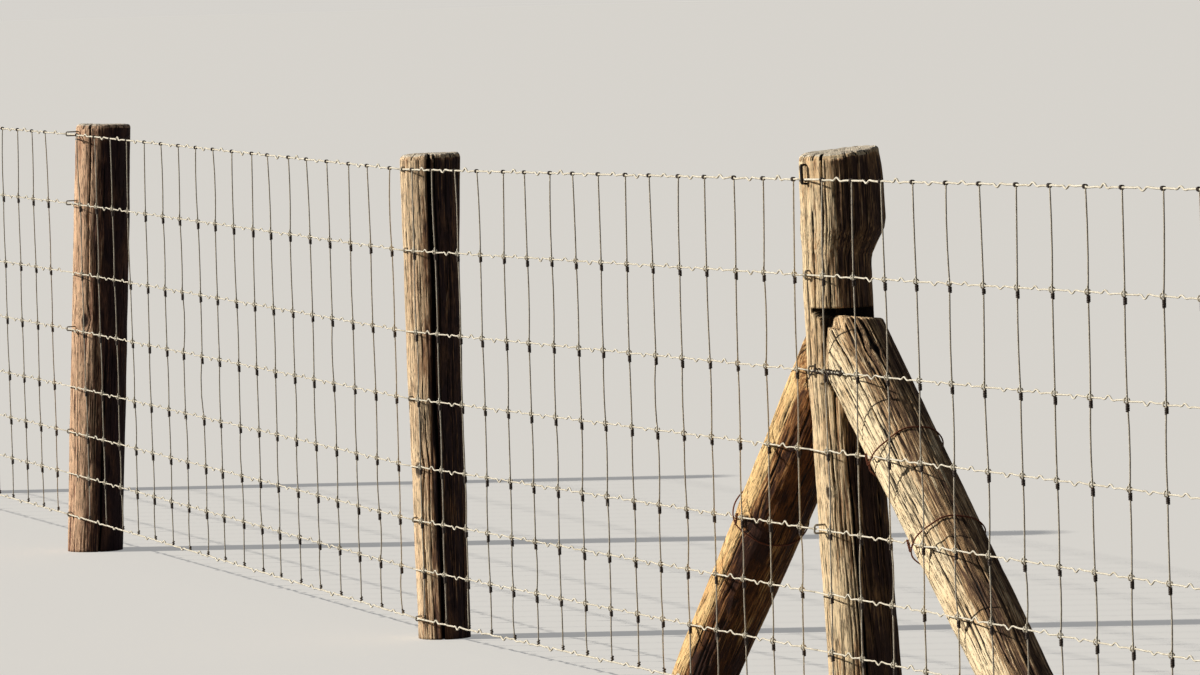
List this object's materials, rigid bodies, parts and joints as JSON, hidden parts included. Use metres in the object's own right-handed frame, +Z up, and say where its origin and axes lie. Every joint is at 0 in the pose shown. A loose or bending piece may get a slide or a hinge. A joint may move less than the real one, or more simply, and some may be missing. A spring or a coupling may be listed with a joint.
{
  "type": "stock fence of woven wire netting on round timber posts",
  "caption": "Run of farm fence: hinge-joint wire netting on weathered round posts, with a strainer post braced both ways by log struts.",
  "frame": {"origin": "centre of the strainer post's foot, at ground level", "axes": "+X along the fence to the right as seen from the netting side, +Y away from the netting side, +Z up"},
  "size_m": [10.2339, 0.1799, 1.1651],
  "materials": {
    "post_timber": "weathered round timber",
    "strut_timber": "weathered peeled log",
    "netting_wire": "dull galvanised wire",
    "staple_wire": "rusted wire",
    "tie_wire": "rusty tie wire"
  },
  "bodies": {
    "root": {"left_end_post": "post_timber", "third_post": "post_timber", "second_post": "post_timber", "strainer_post": "post_timber", "right_end_post": "post_timber", "right_strut": "strut_timber", "left_strut": "strut_timber", "netting_bay_1": "netting_wire", "netting_bay_2": "netting_wire", "netting_bay_3": "netting_wire", "netting_bay_4": "netting_wire", "left_end_staples": "staple_wire", "third_staples": "staple_wire", "second_staples": "staple_wire", "strainer_staples": "staple_wire", "right_end_staples": "staple_wire", "right_strut_ties": "tie_wire", "left_strut_ties": "tie_wire"}
  },
  "joints": []
}
